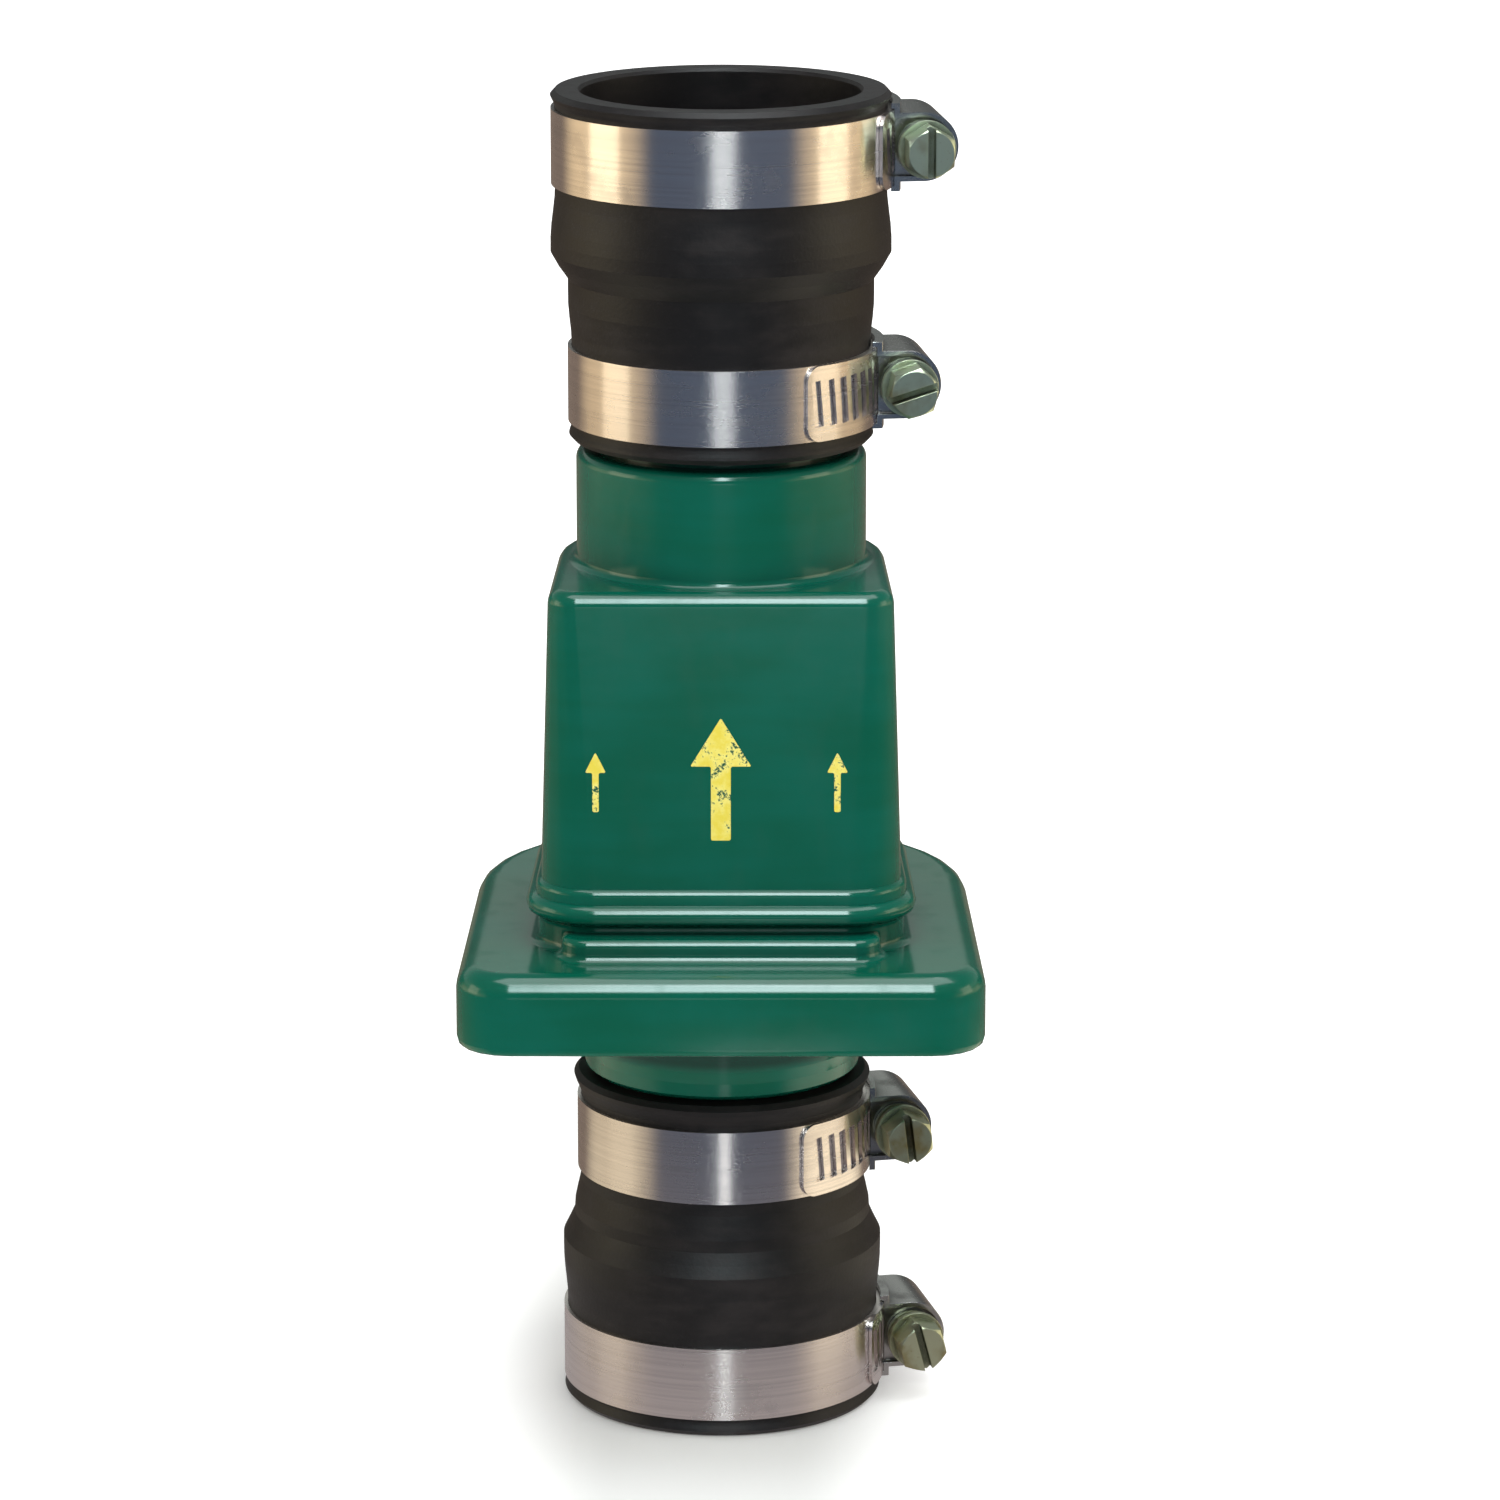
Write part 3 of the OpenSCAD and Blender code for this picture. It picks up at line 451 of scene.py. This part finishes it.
def makeBlackRubber():
    look, tint, dull = blackRubber, blackRubber["tint"], blackRubber["dull"]
    shade, material = newShade("blackRubber")
    place = shade.place()
    cloud = shade.noise(place, look["cloud"])
    bloom = shade.noise(place, look["bloom"])
    dust = (cloud * look["dust"]["cloud"] + bloom * look["dust"]["bloom"]).ease(*look["dustEdge"])
    specks = shade.noise(place, look["specks"])
    colour = shade.blend(dust * tint["dust"] + specks * tint["specks"], look["deep"], look["dusty"])
    rough = look["roughness"] + dust * dull["dust"] + specks * dull["specks"]
    relief = shade.noise(place, look["grain"]) + cloud * look["cloudRelief"]
    shade.surface({
        "Base Color": colour, "Roughness": rough, "Normal": shade.bump(relief, look["grainHeight"]),
        "IOR": commonIor, "Specular IOR Level": look["shine"],
    })
    return material


brushedBand = {
    "steel": (0.86, 0.785, 0.755),
    "shadow": (0.60, 0.545, 0.53),
    "lines": {"stretch": (16, 16, 9000), "detail": 2, "rough": 0.6},  # fine brushing round the band
    "streaks": {"stretch": (9, 9, 1700), "detail": 2, "rough": 0.6},
    "smears": {"scale": 130, "detail": 3, "rough": 0.6, "between": (0.50, 0.72)},
    "tint": {"streaks": 0.6, "smears": 0.12},
    "tintEdge": (0.10, 0.75),
    "dull": {"streaks": 0.08, "smears": 0.04},
    "roughness": 0.22,
    "streakRelief": 0.6,  # height of the streaks, as times the lines
    "lineHeight": 0.0000005,  # metres
    "anisotropy": 0.90,
    "turn": 0.25,  # of the highlight, in whole turns
}


def makeBrushedBand():
    look, tint, dull = brushedBand, brushedBand["tint"], brushedBand["dull"]
    shade, material = newShade("brushedBand")
    place = shade.place()
    streaks = shade.noise(place, look["streaks"])
    smears = shade.noise(place, look["smears"])
    tone = (streaks * tint["streaks"] + smears * tint["smears"]).ease(*look["tintEdge"])
    rough = look["roughness"] + streaks * dull["streaks"] + smears * dull["smears"]
    relief = shade.noise(place, look["lines"]) + streaks * look["streakRelief"]
    shade.surface({
        "Base Color": shade.blend(tone, look["steel"], look["shadow"]), "Metallic": 1.0,
        "Roughness": rough, "Normal": shade.bump(relief, look["lineHeight"]),
        "Anisotropic": look["anisotropy"], "Anisotropic Rotation": look["turn"],
    })
    return material


platedMetal = {
    "patches": {"scale": 150, "detail": 3, "rough": 0.55},
    "patchEdge": (0.46, 0.72),
    "pits": {"scale": 2600, "detail": 2, "between": (0.64, 0.78)},
    "lowness": (0.03, 0.17),  # heights over which the worn colour grows towards the bottom
    "wear": {"patches": 0.6, "pits": 0.3, "lowness": 0.35},
    # grime and painted shade, where the occlusion node finds corners narrow
    "grimeAndShadeEdge": (0.35, 0.95),
    "grimeAndShadeTint": 0.85,
    "dull": {"wear": 0.10, "pits": 0.08, "grimeAndShade": 0.2},
    "marks": {"scale": 1700, "detail": 3},
    "relief": {"patches": 2.0, "pits": 0.6},  # as times the marks
    "corners": {"samples": 4, "ownShapeOnly": True},
}

metals = {  # mark heights and reach in metres; the grime colour is both grime and painted shade in narrow corners
    "housing": {
        "clean": (0.58, 0.57, 0.56), "worn": (0.25, 0.24, 0.23), "grimeAndShade": (0.035, 0.03, 0.03),
        "roughness": 0.19, "markHeight": 0.000006, "reach": 0.0030,
    },
    "screw": {
        "clean": (0.66, 0.74, 0.55), "worn": (0.34, 0.28, 0.12), "grimeAndShade": (0.03, 0.033, 0.022),
        "roughness": 0.32, "markHeight": 0.000005, "reach": 0.0018,
    },
    "pin": {
        "clean": (0.70, 0.70, 0.68), "worn": (0.50, 0.50, 0.48), "grimeAndShade": (0.20, 0.20, 0.19),
        "roughness": 0.22, "markHeight": 0.000004, "reach": 0.001,
    },
    "brass": {
        "clean": (0.78, 0.56, 0.22), "worn": (0.46, 0.30, 0.11), "grimeAndShade": (0.12, 0.08, 0.035),
        "roughness": 0.28, "markHeight": 0.000006, "reach": 0.002,
    },
}


def makePlatedMetal(name, metal):
    look, wear, dull, height = platedMetal, platedMetal["wear"], platedMetal["dull"], platedMetal["relief"]
    shade, material = newShade(name)
    place = shade.place()
    patches = shade.noise(place, look["patches"])
    pits = shade.noise(place, look["pits"])
    lowness = 1.0 - shade.axes(place)[2].ease(*look["lowness"])
    blotches = patches.ease(*look["patchEdge"]) * wear["patches"]
    worn = (blotches + pits * wear["pits"] + lowness * wear["lowness"]).least(1.0)
    # grime and painted shade: darker, duller colour in corners that the occlusion node finds narrow
    grimeAndShade = 1.0 - shade.openness({**look["corners"], "reach": metal["reach"]}).ease(*look["grimeAndShadeEdge"])
    bare = shade.blend(worn, metal["clean"], metal["worn"])
    colour = shade.blend(grimeAndShade * look["grimeAndShadeTint"], bare, metal["grimeAndShade"])
    rough = metal["roughness"] + worn * dull["wear"] + pits * dull["pits"] + grimeAndShade * dull["grimeAndShade"]
    relief = shade.noise(place, look["marks"]) + patches * height["patches"] - pits * height["pits"]
    normal = shade.bump(relief, metal["markHeight"])
    shade.surface({"Base Color": colour, "Metallic": 1.0, "Roughness": rough, "Normal": normal})
    return material


stampedFoil = {
    "yellow": (0.80, 0.66, 0.055),
    "pale": (0.90, 0.82, 0.22),
    "missing": (0.0014, 0.094, 0.050),  # the green that shows where the foil has broken up
    "patches": {"scale": 420, "detail": 3, "rough": 0.6},
    "patchEdge": (0.3, 0.7),
    "specks": {"scale": 2400, "detail": 3, "rough": 0.7},
    "gone": {"patches": 0.6, "specks": 0.55},  # shares of both in where the foil is gone
    "goneEdge": (0.62, 0.70),
    "roughness": 0.34,
    "dull": {"specks": 0.14, "gone": 0.14},
    "depth": 2.0,  # of the gaps, as times the specks
    "speckHeight": 0.00001,  # metres
}


def makeStampedFoil():
    look, missing, dull = stampedFoil, stampedFoil["gone"], stampedFoil["dull"]
    shade, material = newShade("stampedFoil")
    place = shade.place()
    patches = shade.noise(place, look["patches"])
    specks = shade.noise(place, look["specks"])
    gone = (patches * missing["patches"] + specks * missing["specks"]).ease(*look["goneEdge"])
    ink = shade.blend(patches.ease(*look["patchEdge"]), look["yellow"], look["pale"])
    rough = look["roughness"] + specks * dull["specks"] - gone * dull["gone"]
    shade.surface({
        "Base Color": shade.blend(gone, ink, look["missing"]), "Roughness": rough, "IOR": commonIor,
        "Normal": shade.bump(specks - gone * look["depth"], look["speckHeight"]),
    })
    return material


finish = {
    "green": makeMouldedGreen(),
    "rubber": makeBlackRubber(),
    "band": makeBrushedBand(),
    "housing": makePlatedMetal("stampedHousing", metals["housing"]),
    "screw": makePlatedMetal("platedScrew", metals["screw"]),
    "pin": makePlatedMetal("hingeSteel", metals["pin"]),
    "brass": makePlatedMetal("flapperBrass", metals["brass"]),
    "foil": makeStampedFoil(),
}

nodesOfFinish = {
    "green": ["inlet_body", "outlet_body"],
    "rubber": ["upper_sleeve", "lower_sleeve", "flapper_disc"],
    "brass": ["flapper_arm", "flapper_backing", "flapper_washer", "flapper_rivet"],
    "pin": ["hinge_pin"],
    "band": ["band_" + number for number in "1234"],
    "housing": ["housing_" + number for number in "1234"],
    "screw": ["screw_" + number for number in "1234"],
}
for finishName, nodeNames in nodesOfFinish.items():
    for nodeName in nodeNames:
        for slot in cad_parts[nodeName].material_slots:
            slot.material = finish[finishName]
print("finishes made")


# pieces

copying = {
    "merge": 0.000002,  # metres
    "shortest": 0.000001,  # edges under this are closed up
    "flat": 0.2,  # degrees, under which neighbouring faces become one
}

softening = {
    "bevelFrom": 40,  # degrees between two faces
    "weight": 50,
}


def addPiece(name, bm, body, finishName):
    mesh = bpy.data.meshes.new(name)
    bm.to_mesh(mesh)
    bm.free()
    # a node's stored normals don't fit the merged mesh
    if "custom_normal" in mesh.attributes:
        mesh.attributes.remove(mesh.attributes["custom_normal"])
    mesh.materials.append(finish[finishName])
    piece = bpy.data.objects.new(name, mesh)
    bpy.context.scene.collection.objects.link(piece)
    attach(piece, body)
    return piece


def copyOfNode(node, sharp):
    # the node's own surface, merged, with its sharp edges marked
    bm = bmesh.new()
    bm.from_mesh(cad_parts[node].data)
    bmesh.ops.remove_doubles(bm, verts=bm.verts, dist=copying["merge"])
    bmesh.ops.dissolve_degenerate(bm, dist=copying["shortest"], edges=bm.edges)
    bmesh.ops.dissolve_limit(bm, angle_limit=radians(copying["flat"]), verts=bm.verts, edges=bm.edges)
    for edge in bm.edges:
        edge.smooth = len(edge.link_faces) == 2 and edge.calc_face_angle(0) < radians(sharp)
    for face in bm.faces:
        face.smooth = True
        face.material_index = 0
    return bm


def softened(piece, look):
    if "bevel" in look:
        bevel = piece.modifiers.new("edge", "BEVEL")
        bevel.width = look["bevel"]
        bevel.segments = look["segments"]
        bevel.limit_method = "ANGLE"
        bevel.angle_limit = radians(softening["bevelFrom"])
        bevel.use_clamp_overlap = True
    weigh = piece.modifiers.new("weigh", "WEIGHTED_NORMAL")
    weigh.keep_sharp = True
    weigh.weight = softening["weight"]


casing = {"sharp": 32}  # degrees above which an edge stays sharp

upperCasing = addPiece("upperCasing", copyOfNode("outlet_body", casing["sharp"]), "valve", "green")
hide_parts("outlet_body")
softened(upperCasing, casing)
print("casing made")


# flow arrows on the front face

flowArrows = {  # metres
    "faceFoot": (-0.031, 0.0892),  # y and z of the front face at the flange
    "faceTop": (-0.029, 0.1523),
    "lift": 0.00003,  # how far the foil stands off the face
    "thickness": 0.00004,
    "corner": 0.0003,
    "cornerSteps": 2,
    "main": {"length": 0.0215, "shaft": 0.0034, "head": 0.0105, "headLength": 0.0085},
    "side": {"length": 0.0105, "shaft": 0.0011, "head": 0.0036, "headLength": 0.0036},
    "feet": {  # which kind stands where, by x and z
        "mainFlowArrow": ("main", 0.0, 0.1093),
        "leftFlowArrow": ("side", -0.0215, 0.1143),
        "rightFlowArrow": ("side", 0.0200, 0.1143),
    },
}


def flowArrow(name, facts, startX, startZ):
    # drawn upright at the origin, then leant and moved onto the face
    look, thickness = flowArrows, flowArrows["thickness"]
    footY, footZ = look["faceFoot"]
    topY, topZ = look["faceTop"]
    lean = atan2(topY - footY, topZ - footZ)
    half, wide = facts["shaft"] / 2, facts["head"] / 2
    neck = facts["length"] - facts["headLength"]
    outline = [
        (-half, 0), (half, 0), (half, neck), (wide, neck),
        (0, facts["length"]), (-wide, neck), (-half, neck),
    ]
    bm = bmesh.new()
    face = bm.faces.new([bm.verts.new((x, 0, z)) for x, z in outline])
    bmesh.ops.bevel(
        bm, geom=list(face.verts), offset=look["corner"], segments=look["cornerSteps"],
        profile=0.5, affect="VERTICES", material=-1,
    )
    sides = bmesh.ops.extrude_face_region(bm, geom=bm.faces[:])
    lifted = [v for v in sides["geom"] if isinstance(v, bmesh.types.BMVert)]
    bmesh.ops.translate(bm, verts=lifted, vec=(0, -thickness, 0))
    startY = footY + (startZ - footZ) * tan(lean) - look["lift"]
    shift = Matrix.Translation((startX, startY + thickness, startZ))
    bmesh.ops.transform(bm, verts=bm.verts, matrix=shift @ Matrix.Rotation(-lean, 4, "X"))
    bmesh.ops.recalc_face_normals(bm, faces=bm.faces)
    addPiece(name, bm, "valve", "foil")


for arrowName, (arrowKind, arrowX, arrowZ) in flowArrows["feet"].items():
    flowArrow(arrowName, flowArrows[arrowKind], arrowX, arrowZ)
print("flow arrows made")


# clamps

clampHousing = {"sharp": 30, "bevel": 0.00022, "segments": 3}  # degrees and metres
clampScrew = {"sharp": 30, "bevel": 0.00014, "segments": 2}

for number in "1234":
    shellCopy = copyOfNode("housing_" + number, clampHousing["sharp"])
    shell = addPiece("clampHousing" + number, shellCopy, "valve", "housing")
    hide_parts("housing_" + number)
    softened(shell, clampHousing)
    wormCopy = copyOfNode("screw_" + number, clampScrew["sharp"])
    worm = addPiece("clampScrew" + number, wormCopy, "clamp_screw_" + number, "screw")
    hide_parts("screw_" + number)
    softened(worm, clampScrew)
print("clamps made")
